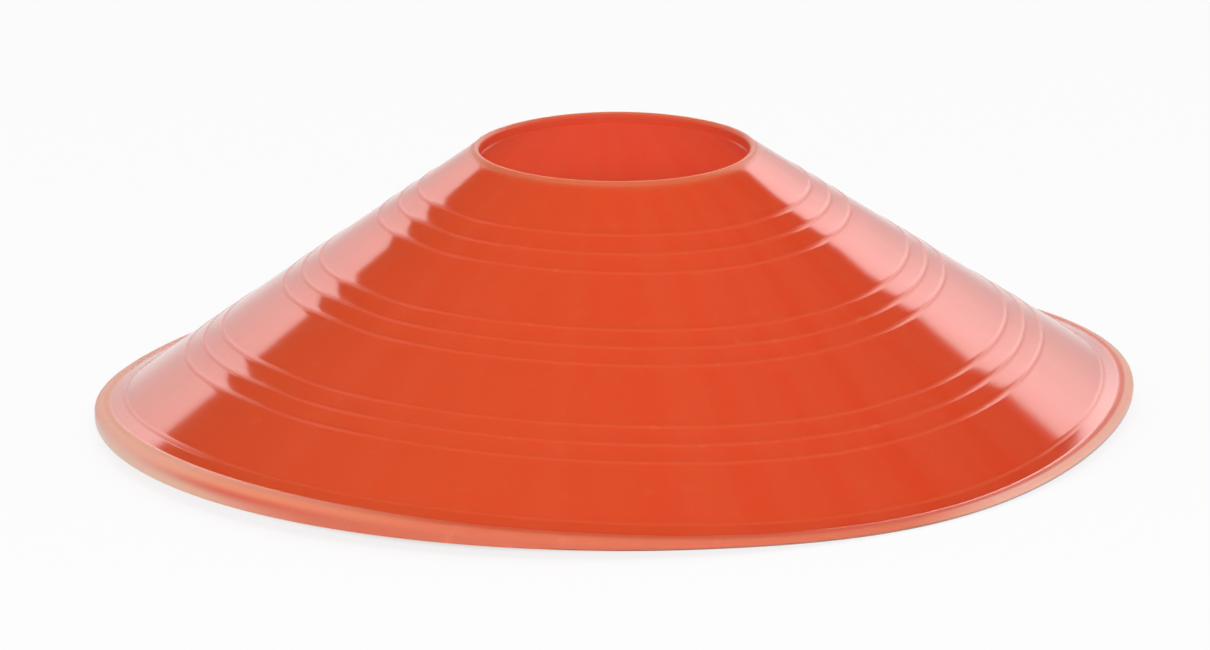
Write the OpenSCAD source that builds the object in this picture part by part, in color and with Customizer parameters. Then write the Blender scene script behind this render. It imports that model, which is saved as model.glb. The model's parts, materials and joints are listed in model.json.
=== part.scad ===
// Sports marker cone: one thin moulded shell, a low cone with an open crown.
// The shell turns about Z and stands on its rim at Z = 0. Its wall, brim and
// rim are one sheet of even thickness, drawn here as a section and revolved.

/* [Cone] */
// Diameter across the outside of the rim
base_d = 190; // [150:1:300]
// Height from the ground to the top of the crown
cone_h = 49; // [35:1:90]
// Diameter of the hole in the crown
hole_d = 49; // [30:1:70]
// Thickness of the moulded sheet
wall_t = 1.2; // [0.8:0.1:2]

/* [Crown] */
// How much thicker than the sheet the rounded bead round the hole is
crown_extra = 0.3; // [0:0.1:1.5]
// Height of the straight bore below the bead
crown_land = 1.5; // [1:0.1:4]

/* [Brim] */
// Width of the steeper part of the brim, next to the wall
steep_w = 2.8; // [1.5:0.1:5]
// Drop of the steeper part
steep_drop = 1.1; // [0.6:0.1:2]
// Width of the flatter part of the brim, next to the rim
flat_w = 1.8; // [1:0.1:5]
// Fall of the flatter part, in degrees
flat_fall = 8; // [3:1:15]
// Inside radius of the bend at the rim
rim_bend = 0.3; // [0.2:0.1:1]
// Height of the upright edge below the bend
lip_h = 1.6; // [0.2:0.1:4]

/* [Rings] */
// Most groups of rings on the wall
group_n = 3; // [1:1:5]
// Distance along the wall from the crown to the middle of the first group
group_start = 16.5; // [12:0.5:24]
// Distance along the wall from one group to the next
group_pitch = 21.7; // [16:0.1:30]
// Rings in a group
ring_n = 3; // [1:1:4]
// Distance along the wall from one ring to the next
ring_pitch = 4.1; // [3:0.1:5]
// Width of a ring at its foot
ring_w = 1.3; // [0.8:0.05:2]
// How far a ring stands proud of the wall
ring_h = 0.15; // [0.1:0.05:0.35]
// Least plain wall left below the groups
plain_wall = 5; // [3:0.5:12]

/* [Hidden] */

turn_facets = 180;
bead_facets = 32;

base_r = base_d / 2;
hole_r = hole_d / 2;
half_t = wall_t / 2;
crown_t = wall_t + crown_extra;
rim_r = rim_bend + wall_t;
bend_mid_r = rim_bend + half_t;

// Points on the middle of the sheet, from the rim in to the crown
rim_centre = [base_r - rim_r, lip_h];
flat_end = rim_centre + bend_mid_r * [sin(flat_fall), cos(flat_fall)];
flat_start = flat_end + flat_w * [-1, tan(flat_fall)];
foot = flat_start + [-steep_w, steep_drop];
crown = [hole_r + crown_t / 2, cone_h - crown_t / 2];

// A ring is an arc of this radius, mostly sunk in the sheet
ring_arc_r = (ring_w * ring_w / 4 + ring_h * ring_h) / (2 * ring_h);

// The wall runs from the crown down to its foot
wall_len = norm(foot - crown);
wall_fall = atan2(crown[1] - foot[1], foot[0] - crown[0]);
group_len = (ring_n - 1) * ring_pitch;
groups_room = wall_len - group_start - group_len / 2 - plain_wall;
groups = min(group_n, max(0, floor(groups_room / group_pitch) + 1));

// A flat stretch of the sheet between two points on its middle
module stretch(from, to) {
    run = to - from;
    translate(from)
        rotate(atan2(run[1], run[0]))
            translate([0, -half_t])
                square([norm(run), wall_t]);
}

// A rounded joint of the sheet at a point on its middle
module joint(at) {
    translate(at)
        circle(d = wall_t, $fn = bead_facets);
}

// A low round bead on the sheet's outer face, cut off inside the sheet
module ring_bead() {
    intersection() {
        translate([0, half_t + ring_h - ring_arc_r])
            circle(r = ring_arc_r, $fn = turn_facets);
        translate([-ring_w / 2, 0])
            square([ring_w, wall_t]);
    }
}

// The bead and the short straight bore round the hole
module crown_section() {
    translate(crown)
        circle(d = crown_t, $fn = bead_facets);
    translate([hole_r, crown[1] - crown_land])
        square([crown_t, crown_land]);
}

// The sloping wall with its groups of rings, and one more ring at its foot
module wall_section() {
    stretch(crown, foot);
    translate(crown)
        rotate(-wall_fall) {
            for (g = [0 : 1 : groups - 1], k = [0 : 1 : ring_n - 1])
                translate([group_start + g * group_pitch + k * ring_pitch - group_len / 2, 0])
                    ring_bead();
            translate([wall_len, 0])
                ring_bead();
        }
}

// The brim, in a steeper and a flatter part
module brim_section() {
    joint(foot);
    stretch(foot, flat_start);
    joint(flat_start);
    stretch(flat_start, flat_end);
    joint(flat_end);
}

// The bend at the rim, and the upright edge that stands on the ground
module rim_section() {
    reach = 2 * rim_r;
    translate(rim_centre)
        intersection() {
            difference() {
                circle(r = rim_r, $fn = turn_facets);
                circle(r = rim_bend, $fn = turn_facets);
            }
            polygon([
                [0, 0],
                [reach, 0],
                [reach, reach],
                reach * [sin(flat_fall), cos(flat_fall)]
            ]);
        }
    translate([base_r - wall_t, 0])
        square([wall_t, lip_h]);
}

module cone_shell() {
    color("orangered")
        rotate_extrude($fn = turn_facets) {
            crown_section();
            wall_section();
            brim_section();
            rim_section();
        }
}

cone_shell();
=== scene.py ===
import json
from math import radians

import bpy
import numpy as np
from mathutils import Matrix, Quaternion, Vector


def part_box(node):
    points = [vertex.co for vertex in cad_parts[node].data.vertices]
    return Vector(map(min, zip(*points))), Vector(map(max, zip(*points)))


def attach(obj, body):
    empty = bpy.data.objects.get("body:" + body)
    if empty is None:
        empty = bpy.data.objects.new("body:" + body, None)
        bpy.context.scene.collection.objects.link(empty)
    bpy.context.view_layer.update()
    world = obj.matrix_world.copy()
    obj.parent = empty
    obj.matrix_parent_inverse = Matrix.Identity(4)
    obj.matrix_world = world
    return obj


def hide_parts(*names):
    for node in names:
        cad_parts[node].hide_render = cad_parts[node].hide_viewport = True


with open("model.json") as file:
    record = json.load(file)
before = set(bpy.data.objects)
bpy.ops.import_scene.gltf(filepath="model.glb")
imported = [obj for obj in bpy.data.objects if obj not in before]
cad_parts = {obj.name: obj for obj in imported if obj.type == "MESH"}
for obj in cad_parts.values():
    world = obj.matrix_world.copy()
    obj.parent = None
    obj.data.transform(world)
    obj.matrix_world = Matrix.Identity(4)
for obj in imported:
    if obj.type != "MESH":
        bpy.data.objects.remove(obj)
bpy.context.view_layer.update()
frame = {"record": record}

mm = 0.001
print("frame loaded")


class Wire:
    # one output of a node; sums and products of wires and numbers add their Math nodes
    def __init__(self, tree, socket=None):
        self.tree = tree
        self.socket = socket

    # a node of any type: its settings first, then the values or wires of its inputs
    def node(self, kind, settings=None, inputs=None, output=0):
        made = self.tree.nodes.new(kind)
        for name, value in (settings or {}).items():
            setattr(made, name, value)
        for name, value in (inputs or {}).items():
            if isinstance(value, Wire):
                self.tree.links.new(value.socket, made.inputs[name])
            else:
                made.inputs[name].default_value = value
        return Wire(self.tree, made.outputs[output]) if made.outputs else None

    def maths(self, operation, *values):
        return self.node("ShaderNodeMath", {"operation": operation}, dict(enumerate(values)))

    def __add__(self, other):
        return self.maths("ADD", self, other)

    def __sub__(self, other):
        return self.maths("SUBTRACT", self, other)

    def __mul__(self, other):
        return self.maths("MULTIPLY", self, other)

    def __truediv__(self, other):
        return self.maths("DIVIDE", self, other)

    def __radd__(self, other):
        return self.maths("ADD", other, self)

    def __rsub__(self, other):
        return self.maths("SUBTRACT", other, self)

    def __rmul__(self, other):
        return self.maths("MULTIPLY", other, self)

    # 0 below low, 1 above high, and a smooth step between them
    def step(self, low, high):
        inputs = {"Value": self, "From Min": low, "From Max": high}
        return self.node("ShaderNodeMapRange", {"interpolation_type": "SMOOTHSTEP"}, inputs)

    # the first colour where the factor is 0, the second where it is 1
    def blend(self, first, second):
        inputs = {0: self, 6: first, 7: second}
        return self.node("ShaderNodeMix", {"data_type": "RGBA"}, inputs, 2)


def emptyTree(owner):
    owner.use_nodes = True
    owner.node_tree.nodes.clear()
    return owner.node_tree


def grey(value):
    return (value, value, value, 1)


def addObject(name, data):
    made = bpy.data.objects.new(name, data)
    bpy.context.scene.collection.objects.link(made)
    return made


# sizes in millimetres and angles in degrees; waves are (lobes, height, turn) and swells are
# (height, turn, width); fades are distances along the sheet from where the rim's bend starts or ends
shell = {
    "sheet": 1.2,
    "crownExtra": 0.3,
    "crownLand": 1.5,
    "steepPart": (2.8, 1.1),
    "flatPart": 1.8,
    "flatFall": 8,
    "rimBend": 0.3,
    "lipHeight": 1.6,
    "footBend": 1.6,
    "brimBend": 1.2,
    "edgeRound": 0.25,
    "landGap": 0.1,
    "ringGroups": ((16.6, 4.4), (38.1, 4.05), (60.0, 4.05)),
    "ringWidth": 1.4,
    "ringHeight": 0.11,
    "wallWaves": ((1, 0.8, -5), (2, 1.9, 45), (3, 1.2, -14), (4, 0.7, 5)),
    "wallWaveStart": 20,
    "wallWavePower": 1.1,
    "backSwell": (1.35, 146, 24),
    "brimSwell": (0.45, 330, 30),
    "oval": (1.1, 55),
    "lean": 0.015,
    "edgeRise": 1.25,
    "edgeWaves": ((2, 0.8, 20), (3, 0.7, -1), (4, 0.3, 3)),
    "edgeSwell": (1.2, 325, 30),
    "dropMost": 2.05,
    "dropSharpness": 3,
    "dropPower": 1.5,
    "backFollows": (0.09, 0.5),
    "beadFade": 1.8,
    "beadTop": (0.2, 0.6),
    "rimFade": (-0.9, 0.7),
    "topEdgeIn": (-2.0, -0.9),
    "topEdgeOut": 0.5,
    "lowEdgeFade": 0.4,
    "around": 320,
    "lineSteps": 20001,
    "wallStep": 2.4,
    "brimStep": 0.16,
    "ringSteps": 10,
    "beadSteps": 3,
    "capSteps": 12,
    "edgeSteps": 5,
    "innerFirst": 0.6,
    "innerStep": 0.3,
    "innerSteps": 4,
}


# the middle of the sheet: straight between corners, and an even turn of the given radius at each;
# the points are the running sum of small steps along the line's angle
def middleLine(corners, bends):
    corners = np.array(corners, float)
    runs = np.diff(corners, axis=0)
    lengths = np.hypot(runs[:, 0], runs[:, 1])
    angles = np.arctan2(runs[:, 1], runs[:, 0])
    turns = np.diff(angles)
    cuts = np.array(bends) * np.tan(np.abs(turns) / 2)
    straights = lengths - np.r_[cuts, 0] - np.r_[0, cuts]
    arcs = np.array(bends) * np.abs(turns)
    knots = np.r_[0, np.cumsum(np.ravel(np.column_stack([straights, np.r_[arcs, 0]])))][:-1]
    along = np.linspace(0, knots[-1], shell["lineSteps"])
    angle = np.interp(along, knots, np.repeat(angles, 2))
    middle = (angle[1:] + angle[:-1]) / 2
    steps = np.diff(along)[:, None] * np.column_stack([np.cos(middle), np.sin(middle)])
    points = corners[0] + np.vstack([[0, 0], np.cumsum(steps, axis=0)])
    return along, points, angle, knots


# an arc about a centre, from one angle to another in degrees
def arc(centre, radius, start, end, count):
    turn = np.radians(np.linspace(start, end, count))
    return np.column_stack([centre[0] + radius * np.cos(turn), centre[1] + radius * np.sin(turn)])


# half a cosine wave's rise and fall over each ring's width, 0 elsewhere
def ringRise(along, centres):
    apart = np.abs(along[:, None] - np.array(centres)) / (shell["ringWidth"] / 2)
    return (0.5 + 0.5 * np.cos(np.pi * np.minimum(apart, 1))).max(axis=1)


# 0 below low, 1 above high, and a smooth step between them
def smoothStep(value, low, high):
    part = np.clip((value - low) / (high - low), 0, 1)
    return part * part * (3 - 2 * part)


# the closed section, from the crown down the outside, round the lip, up the inside and round the
# bead: each side is the middle line moved square to itself by half the sheet, the outer one also by
# the rings; follow is 1 where a point moves with the wall and falls to 0 at the lip
def shellSection():
    low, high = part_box("cone_shell")
    baseRadius, height = high.x / mm, high.z / mm
    hole = next(m for m in frame["record"]["mounts"] if m["name"] == "top_hole")["dims"]["r_mm"]
    half = shell["sheet"] / 2
    bead = half + shell["crownExtra"] / 2
    bendRadius = shell["rimBend"] + half
    fall = radians(shell["flatFall"])
    crown = np.array([hole + bead, height - bead])
    bendCentre = np.array([baseRadius - shell["rimBend"] - shell["sheet"], shell["lipHeight"]])
    flatEnd = bendCentre + bendRadius * np.array([np.sin(fall), np.cos(fall)])
    flatStart = flatEnd + shell["flatPart"] * np.array([-1, np.tan(fall)])
    foot = flatStart + np.array([-shell["steepPart"][0], shell["steepPart"][1]])
    rimCorner = np.array([baseRadius - half, 0])
    rimCorner[1] = flatEnd[1] - (rimCorner[0] - flatEnd[0]) * np.tan(fall)
    lipEnd = np.array([rimCorner[0], 0])
    bends = (shell["footBend"], shell["brimBend"], bendRadius)
    along, points, angle, knots = middleLine((crown, foot, flatStart, rimCorner, lipEnd), bends)
    wallEnd, footEnd = knots[1:3]
    bendStart, bendEnd, lineEnd = knots[5:]
    rings = [middle + k * pitch for middle, pitch in shell["ringGroups"] for k in (-1, 0, 1)]
    rings.append((wallEnd + footEnd) / 2)
    brimStart = wallEnd - shell["ringWidth"]
    wall = np.arange(0, brimStart, shell["wallStep"])
    brim = np.arange(brimStart, lineEnd - shell["edgeRound"], shell["brimStep"])
    reach = np.linspace(-0.5, 0.5, shell["ringSteps"] + 1) * shell["ringWidth"]
    fine = np.ravel(np.array(rings[:-1])[:, None] + reach)
    plain = wall[ringRise(wall, rings) == 0]
    nearBead = np.linspace(0, shell["beadFade"], shell["beadSteps"] + 1)[1:]
    outer = np.sort(np.r_[plain, nearBead, fine, brim])
    nearLand = shell["innerFirst"] + shell["innerStep"] * np.arange(shell["innerSteps"])
    inner = np.r_[shell["crownLand"] + nearLand, wall[2:], brim][::-1]

    def sideOf(at, offset):
        turn = np.interp(at, along, angle)
        centre = np.column_stack([np.interp(at, along, points[:, k]) for k in (0, 1)])
        return centre + offset[:, None] * np.column_stack([-np.sin(turn), np.cos(turn)])

    rise = ringRise(outer, rings)
    outside = sideOf(outer, half + rise * shell["ringHeight"])
    inside = sideOf(inner, np.full(len(inner), -half))
    edge, steps = shell["edgeRound"], shell["edgeSteps"]
    lip = np.vstack([
        arc((baseRadius - edge, edge), edge, 0, -90, steps),
        arc((baseRadius - shell["sheet"] + edge, edge), edge, -90, -180, steps),
    ])
    landBottom = crown[1] - shell["crownLand"]
    landWidth = np.linspace(inside[-1, 0] - shell["landGap"], hole + 2 * edge, steps)
    fallAngle = np.degrees(angle[0]) + 90
    cap = np.vstack([
        np.column_stack([landWidth, np.full(steps, landBottom)]),
        arc((hole + edge, landBottom + edge), edge, 270, 180, steps),
        arc(crown, bead, 180, fallAngle, shell["capSteps"])[:-1],
    ])
    profile = np.vstack([outside, lip, inside, cap])
    place = np.r_[outer, np.full(len(lip), lineEnd), inner, np.zeros(len(cap))]
    follow = 1 - np.clip((place - bendStart) / (lineEnd - bendStart), 0, 1) ** shell["dropPower"]
    onBrim = smoothStep(place, footEnd, bendStart)
    between = np.zeros(len(lip) + len(inner))
    onTop = smoothStep(cap[:, 1], *(crown[1] + np.array(shell["beadTop"])))
    topEdge = smoothStep(place, *(bendStart + np.array(shell["topEdgeIn"])))
    topEdge = topEdge * (1 - smoothStep(place, bendStart + shell["topEdgeOut"], bendEnd))
    fade = shell["lowEdgeFade"]
    masks = {
        "crest": np.r_[rise, between, 0 * onTop],
        "bead": np.r_[1 - smoothStep(outer, 0, shell["beadFade"]), between, onTop],
        "bore": np.r_[0 * outer, between, 1 - onTop],
        "rim": smoothStep(place, *(bendStart + np.array(shell["rimFade"]))),
        "topEdge": topEdge,
        "lowEdge": smoothStep(place, bendEnd - fade, lineEnd - fade),
    }
    return profile, follow, onBrim, masks


# waves round the rim: the sum of height times the cosine of lobes times the turned angle
def waves(angle, table):
    return sum(rise * np.cos(lobes * (angle - radians(turn))) for lobes, rise, turn in table)


# a bell round one angle: the height times e to the minus square of the angle over its width
def swell(angle, height, middle, width):
    apart = np.degrees(np.angle(np.exp(1j * (angle - radians(middle)))))
    return height * np.exp(-(apart / width) ** 2)


# the section turned about Z, its radius made oval with the square of the radius; z is the height plus
# waves that grow with the radius, a lean in x and a swell of the brim. In front the lip goes down to
# an edge with its own waves, by no more than the most drop; behind it follows the wall
def shellSurface(profile, follow, onBrim):
    angle = np.linspace(0, 2 * np.pi, shell["around"], endpoint=False)[None, :]
    radius, height = profile[:, :1], profile[:, 1:]
    base = profile[:, 0].max()
    start = shell["wallWaveStart"]
    grow = np.clip((radius - start) / (base - start), 0, None) ** shell["wallWavePower"]
    ovalBy, ovalTurn = shell["oval"]
    spread = radius + ovalBy * np.cos(2 * (angle - radians(ovalTurn))) * (radius / base) ** 2
    x, y = spread * np.cos(angle), spread * np.sin(angle)
    wallRise = waves(angle, shell["wallWaves"]) + swell(angle, *shell["backSwell"])
    leaning = height + wallRise * grow - shell["lean"] * x
    leaning = leaning + swell(angle, *shell["brimSwell"]) * onBrim[:, None]
    follow = follow[:, None]
    follow = follow + (1 - follow) * smoothStep(np.sin(angle), *shell["backFollows"])
    edgeRise = waves(angle, shell["edgeWaves"]) + swell(angle, *shell["edgeSwell"])
    drop = height + shell["edgeRise"] + edgeRise - leaning
    most, sharp = shell["dropMost"], shell["dropSharpness"]
    drop = most - np.logaddexp(0, sharp * (most - drop)) / sharp
    z = leaning + (1 - follow) * drop
    x = x + follow * shell["lean"] * height
    return np.stack([x, y, z], axis=-1)


# quads between neighbouring rows and columns, both closed on themselves
def gridFaces(rows, columns):
    row, column = np.meshgrid(np.arange(rows), np.arange(columns), indexing="ij")
    nextRow, nextColumn = (row + 1) % rows, (column + 1) % columns
    corners = [row * columns + column, nextRow * columns + column,
               nextRow * columns + nextColumn, row * columns + nextColumn]
    return np.stack(corners, axis=-1).reshape(-1, 4)


def meshFrom(name, points, faces):
    mesh = bpy.data.meshes.new(name)
    mesh.from_pydata(points.reshape(-1, 3), [], faces)
    mesh.polygons.foreach_set("use_smooth", np.ones(len(faces), bool))
    return addObject(name, mesh)


def storeValues(piece, name, values):
    stored = piece.data.attributes.new(name, "FLOAT", "POINT")
    stored.data.foreach_set("value", np.ravel(values).astype(np.float32))


profile, follow, onBrim, masks = shellSection()
surface = shellSurface(profile, follow, onBrim)
lift = -surface[..., 2].min()
surface[..., 2] += lift
coneShell = meshFrom("moulded_shell", surface * mm, gridFaces(*surface.shape[:2]))
for maskName, values in masks.items():
    storeValues(coneShell, maskName, np.repeat(values, shell["around"]))
print("shell:", len(profile), "points in the section, lifted by", round(float(lift), 2), "mm")


# colours are linear, depths and places in metres; noises are (scale, detail)
plastic = {
    # colourLeft is paler than colourRight: painted one-sided light
    "colourLeft": (0.68, 0.081, 0.023),
    "colourRight": (0.68, 0.063, 0.018),
    "colourTurn": (-0.06, 0.07),
    "cloudNoise": (28.0, 3.0),
    "cloudSpread": 0.06,
    "cloudRoughness": 0.02,
    "flowColour": (0.69, 0.092, 0.031),
    "flowNoise": (9.0, 3.0),
    "flowPart": 0.6,
    "flowTurn": (0.4, 0.65),
    "flowShare": 0.5,
    # the crest colour is paler than the body: a painted highlight
    "crestColour": (0.69, 0.088, 0.029),
    # the bead colour is paler and tan: a painted highlight
    "beadColour": (0.66, 0.15, 0.06),
    # the bore colour is darker than the body: painted shade
    "boreColour": (0.6, 0.07, 0.027),
    # the rim colour is paler: a painted reflection of the floor and glow through the thin lip; rimLeft
    # has no painted light
    "rimColour": (0.66, 0.155, 0.078),
    "rimLeft": (0.66, 0.08, 0.025),
    "rimTurn": (0.04, 0.075),
    # a painted highlight along the top of the rim's bend, strongest at the left
    "wornColour": (0.77, 0.3, 0.18),
    "wornLeast": 0.12,
    "wornTurn": (0.02, 0.08),
    # a painted highlight at both ends of the rim
    "endsColour": (0.8, 0.4, 0.305),
    "endsShift": 0.01,
    "endsBehind": 0.4,
    "endsTurn": (0.058, 0.082),
    "endsRim": (0, 0.5),
    # painted light on the lower edge at the left
    "paleColour": (0.8, 0.5, 0.36),
    "paleTurn": (0.045, 0.085),
    "scuffColour": (0.78, 0.25, 0.16),
    "scuffNoise": (260.0, 4.0),
    "scuffTurn": (0.6, 0.78),
    "scuffShares": (0.06, 0.2, 0.4),
    "roughness": 0.085,
    "crestRoughness": 0.15,
    "beadRoughness": 0.3,
    "rimRoughness": 0.19,
    "wornRoughness": 0.4,
    "scuffRoughness": 0.2,
    "grainNoise": (900.0, 2.0),
    "turnedScale": 900.0,
    "peel": 0.03,
    "peelDepth": 0.0002,
    "scatter": 0.8,
    "scatterDepth": 0.0012,
    "scatterColours": (1.0, 0.22, 0.08),
    "refraction": 1.5,
}


# one soft plastic: clouds, flow marks out from the crown, fine turned marks of the mould and scuffs where
# it rubs; over them painted light: a paler left side, painted highlights on the ring crests and bead,
# painted shade in the bore, a painted reflection and glow on the rim, a painted highlight along the rim's
# top edge and at both ends of the rim, and painted light on the lower edge at the left
def softPlastic(name):
    material = bpy.data.materials.new(name)
    start = Wire(emptyTree(material))
    spot = start.node("ShaderNodeTexCoord", output=3)
    across, away = (start.node("ShaderNodeSeparateXYZ", {}, {0: spot}, axis) for axis in (0, 1))
    left = 0 - across
    crestMask, beadMask, boreMask, rimMask, topEdgeMask, lowEdgeMask = (
        start.node("ShaderNodeAttribute", {"attribute_name": mask}, output=2)
        for mask in ("crest", "bead", "bore", "rim", "topEdge", "lowEdge")
    )

    def tone(key):
        return (*plastic[key], 1)

    def noise(key, at):
        scale, detail = plastic[key]
        return start.node("ShaderNodeTexNoise", {}, {"Vector": at, "Scale": scale, "Detail": detail})

    level = start.node("ShaderNodeVectorMath", {"operation": "MULTIPLY"}, {0: spot, 1: (1, 1, 0)})
    apart = start.node("ShaderNodeVectorMath", {"operation": "LENGTH"}, {0: level}, 1)
    heading = start.node("ShaderNodeVectorMath", {"operation": "NORMALIZE"}, {0: level})
    cloud = noise("cloudNoise", spot)
    # paler on the left than on the right: painted one-sided light
    side = (across + (cloud - 0.5) * plastic["cloudSpread"]).step(*plastic["colourTurn"])
    body = side.blend(tone("colourLeft"), tone("colourRight"))
    flowPart = plastic["flowPart"]
    marks = noise("flowNoise", heading) * flowPart + cloud * (1 - flowPart)
    marks = marks.step(*plastic["flowTurn"]) * plastic["flowShare"]
    body = marks.blend(body, tone("flowColour"))
    # paler ring crests: a painted highlight
    body = crestMask.blend(body, tone("crestColour"))
    # a paler crown bead: a painted highlight
    body = beadMask.blend(body, tone("beadColour"))
    # a darker bore: painted shade
    body = boreMask.blend(body, tone("boreColour"))
    # a paler rim except at the far left: a painted reflection and glow on the lip
    rimTone = left.step(*plastic["rimTurn"]).blend(tone("rimColour"), tone("rimLeft"))
    body = rimMask.blend(body, rimTone)
    # a cream line along the top of the rim's bend, strongest at the left: a painted highlight
    least = plastic["wornLeast"]
    topHighlight = (least + (1 - least) * left.step(*plastic["wornTurn"])) * topEdgeMask
    body = topHighlight.blend(body, tone("wornColour"))
    # paler at both ends of the rim and behind: a painted highlight
    outward = start.maths("ABSOLUTE", across + plastic["endsShift"])
    outward = outward + start.maths("MAXIMUM", away, 0) * plastic["endsBehind"]
    ends = outward.step(*plastic["endsTurn"]) * rimMask.step(*plastic["endsRim"])
    body = ends.blend(body, tone("endsColour"))
    # a paler lower edge at the left: painted light
    pale = left.step(*plastic["paleTurn"]) * lowEdgeMask
    body = pale.blend(body, tone("paleColour"))
    anywhere, onCrests, onRim = plastic["scuffShares"]
    scuff = noise("scuffNoise", spot).step(*plastic["scuffTurn"])
    scuff = scuff * (anywhere + crestMask * onCrests + rimMask * onRim)
    colour = scuff.blend(body, tone("scuffColour"))
    rough = plastic["roughness"] + cloud * plastic["cloudRoughness"]
    rough = rough + crestMask * plastic["crestRoughness"] + rimMask * plastic["rimRoughness"]
    rough = rough + (beadMask + boreMask) * plastic["beadRoughness"]
    rough = rough + topEdgeMask * plastic["wornRoughness"] + scuff * plastic["scuffRoughness"]
    turnedInputs = {"W": apart, "Scale": plastic["turnedScale"]}
    turned = start.node("ShaderNodeTexNoise", {"noise_dimensions": "1D"}, turnedInputs)
    height = (noise("grainNoise", spot) + turned) * 0.5
    depths = {"Strength": plastic["peel"], "Distance": plastic["peelDepth"]}
    bump = start.node("ShaderNodeBump", {}, {"Height": height, **depths})
    inputs = {
        "Base Color": colour,
        "Roughness": rough,
        "IOR": plastic["refraction"],
        "Subsurface Weight": plastic["scatter"],
        "Subsurface Radius": plastic["scatterColours"],
        "Subsurface Scale": plastic["scatterDepth"],
        "Normal": bump,
    }
    shader = start.node("ShaderNodeBsdfPrincipled", {}, inputs)
    start.node("ShaderNodeOutputMaterial", {}, {"Surface": shader})
    return material


coneShell.data.materials.append(softPlastic("orange_plastic"))
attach(coneShell, "root")
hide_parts("cone_shell")
print("plastic made")


# the width and the distances from the axis in metres
floorSet = {
    "width": 40.0,
    "ownLight": 0.86,
    "glow": 1.0,
    "shade": 0.9,
    "underCone": (0.081, 0.09),
    "underHole": (0.01, 0.06),
    "holeLight": 0.45,
    "mirroredWhole": (0.09, 0.1),
    "mirroredShade": 0.28,
}


# white by its own light outside the cone, less so below the hole, and lit by the lamps alone between
# them; a share of lamp light is kept everywhere, so the shadow stays. Gloss sees it darker under the cone
def floorPlane():
    side = floorSet["width"] / 2
    corners = np.array([(-side, -side, 0), (side, -side, 0), (side, side, 0), (-side, side, 0)])
    floor = meshFrom("floor", corners, [(0, 1, 2, 3)])
    material = bpy.data.materials.new("floor_white")
    start = Wire(emptyTree(material))
    spot = start.node("ShaderNodeTexCoord", output=3)
    apart = start.node("ShaderNodeVectorMath", {"operation": "LENGTH"}, {0: spot}, 1)
    diffuse, glossy = (
        start.node("ShaderNodeLightPath", output=ray) for ray in ("Is Diffuse Ray", "Is Glossy Ray")
    )
    inside = glossy * (1 - apart.step(*floorSet["mirroredWhole"]))
    lit = apart.step(*floorSet["underCone"]) * floorSet["ownLight"]
    lit = lit + (1 - apart.step(*floorSet["underHole"])) * floorSet["holeLight"]
    own = (1 - diffuse) * (1 - inside) * lit
    glow = start.node("ShaderNodeEmission", {}, {"Color": grey(1), "Strength": floorSet["glow"]})
    shade = inside.blend(grey(floorSet["shade"]), grey(floorSet["mirroredShade"]))
    matte = start.node("ShaderNodeBsdfDiffuse", {}, {"Color": shade})
    mixed = start.node("ShaderNodeMixShader", {}, {0: own, 1: matte, 2: glow})
    start.node("ShaderNodeOutputMaterial", {}, {"Surface": mixed})
    floor.data.materials.append(material)
    material.cycles.emission_sampling = "NONE"


floorPlane()


# top edges, fullAt and leftEdgeTurn in degrees, other turns as parts of a direction's x, y or z;
# strengths are in the light of a white wall, lamps in watts and metres
studio = {
    "soft": 0.54,
    "horizon": 0.95,
    "leftHigh": 2.5,
    "rightHigh": 3.45,
    "fullAt": 26,
    "risePower": 1.7,
    "above": 0.04,
    "leftEdgeTurn": -29.3,
    "backTurn": (-0.1, 0.1),
    "topLeft": 42,
    "topMiddle": 25,
    "topRight": 31.3,
    "topElsewhere": 21,
    "middleTurn": (-0.42, -0.3),
    "rightTurn": (-0.2, 0.05),
    "brightTurn": (-0.3, 0.2),
    "softness": 0.018,
    "sideLight": 0.5,
    "sideTurn": (0.5, 0.62),
    "sideDepth": (-0.45, -0.3),
    "sideLow": (0.1, 0.3),
    "sideHigh": (-0.85, -0.75),
    "lampWidth": 1.2,
    "lampPlace": (0.1, -2.1, 1.75),
    "lampAim": (0, 0, 0),
    "lampPower": 47,
    "innerWidth": 0.09,
    "innerPlace": (0, 0, 0.002),
    "innerAim": (0, 0, 1),
    "innerPower": 0.037,
}


# what gloss mirrors: a pale wall behind, brighter with height up to its top edge, a weak light in
# front at the left, and little light above
def mirroredStudio(start):
    direction = start.node("ShaderNodeTexCoord", output=0)
    across, away, up = (
        start.node("ShaderNodeSeparateXYZ", {}, {0: direction}, axis) for axis in (0, 1, 2)
    )
    soft = studio["softness"]
    slope = float(-np.tan(radians(studio["leftEdgeTurn"])))
    behind = (across + slope * away).step(-soft, soft) * away.step(*studio["backTurn"])
    tops = ("topElsewhere", "topLeft", "topMiddle", "topRight", "fullAt")
    elsewhere, topLeft, middle, topRight, fullAt = (float(np.sin(radians(studio[key]))) for key in tops)
    top = topLeft + across.step(*studio["middleTurn"]) * (middle - topLeft)
    top = top + across.step(*studio["rightTurn"]) * (topRight - middle)
    top = elsewhere + behind * (top - elsewhere)
    band = (top - up).step(-soft, soft)
    right = across.step(*studio["brightTurn"])
    high = studio["leftHigh"] + right * (studio["rightHigh"] - studio["leftHigh"])
    share = start.maths("MAXIMUM", up, 0) / fullAt
    share = start.maths("MINIMUM", share, 1)
    share = start.maths("POWER", share, studio["risePower"])
    bright = studio["horizon"] + share * (high - studio["horizon"])
    beside = (0 - across).step(*studio["sideTurn"]) * (0 - away).step(*studio["sideDepth"])
    beside = beside * up.step(*studio["sideLow"]) * (0 - up).step(*studio["sideHigh"])
    return studio["above"] + band * (bright - studio["above"]) + beside * studio["sideLight"]


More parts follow.
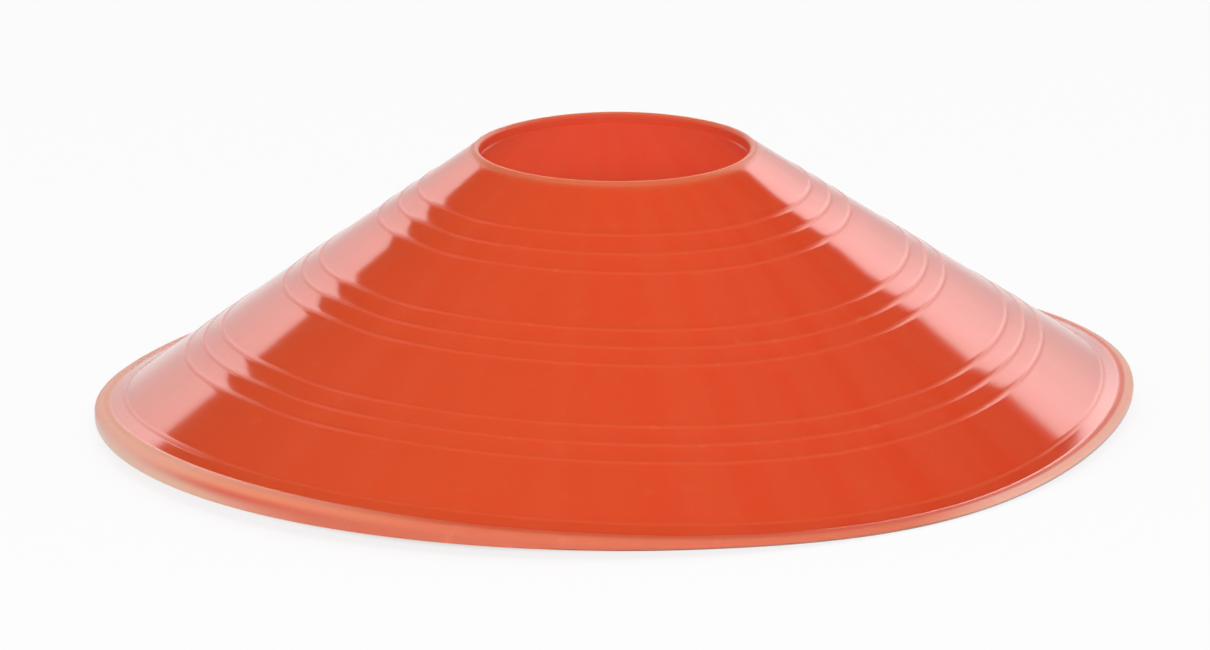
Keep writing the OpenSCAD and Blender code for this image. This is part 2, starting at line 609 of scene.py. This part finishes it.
# white where the camera sees it, the mirrored studio for gloss, and one soft level for the rest
def studioLight():
    world = bpy.data.worlds.new("studio")
    bpy.context.scene.world = world
    start = Wire(emptyTree(world))
    camera, through, glossy = (
        start.node("ShaderNodeLightPath", output=ray)
        for ray in ("Is Camera Ray", "Is Transmission Ray", "Is Glossy Ray")
    )
    seen = start.maths("MAXIMUM", camera, through)
    other = glossy * mirroredStudio(start) + (1 - glossy) * studio["soft"]
    strength = seen + (1 - seen) * other
    sky = start.node("ShaderNodeBackground", {}, {"Color": grey(1), "Strength": strength})
    start.node("ShaderNodeOutputWorld", {}, {"Surface": sky})


# an area lamp that gloss and the camera don't see
def areaLamp(name, shape, kind):
    lamp = bpy.data.lights.new(name, "AREA")
    lamp.shape = shape
    lamp.energy = studio[kind + "Power"]
    lamp.size = studio[kind + "Width"]
    place, aim = Vector(studio[kind + "Place"]), Vector(studio[kind + "Aim"])
    holder = addObject(name, lamp)
    holder.location = place
    holder.rotation_euler = (place - aim).to_track_quat("Z", "Y").to_euler()
    holder.visible_glossy = False
    holder.visible_camera = False


studioLight()
areaLamp("key_lamp", "SQUARE", "lamp")
areaLamp("inner_lamp", "DISK", "inner")
print("floor and light made")


# places in millimetres and angles in degrees; the aim is lifted with the shell
view = {
    "aim": (-1.51, 0, 15.47),
    "distance": 1856,
    "elevation": 15.36,
    "roll": 0.97,
    "lens": 303.4,
    "sensor": 36,
    "clipEnd": 100,
}


def photoCamera():
    camera = addObject("camera", bpy.data.cameras.new("camera"))
    camera.data.lens = view["lens"]
    camera.data.sensor_width = view["sensor"]
    camera.data.clip_end = view["clipEnd"]
    tilt = radians(view["elevation"])
    back = Vector((0, -np.cos(tilt), np.sin(tilt)))
    aim = (Vector(view["aim"]) + Vector((0, 0, lift))) * mm
    camera.location = aim + back * view["distance"] * mm
    camera.rotation_mode = "QUATERNION"
    turn = Quaternion((0, 0, 1), -radians(view["roll"]))
    camera.rotation_quaternion = back.to_track_quat("Z", "Y") @ turn
    bpy.context.scene.camera = camera


photoCamera()
bpy.context.scene.view_settings.view_transform = "Standard"
print("camera made")
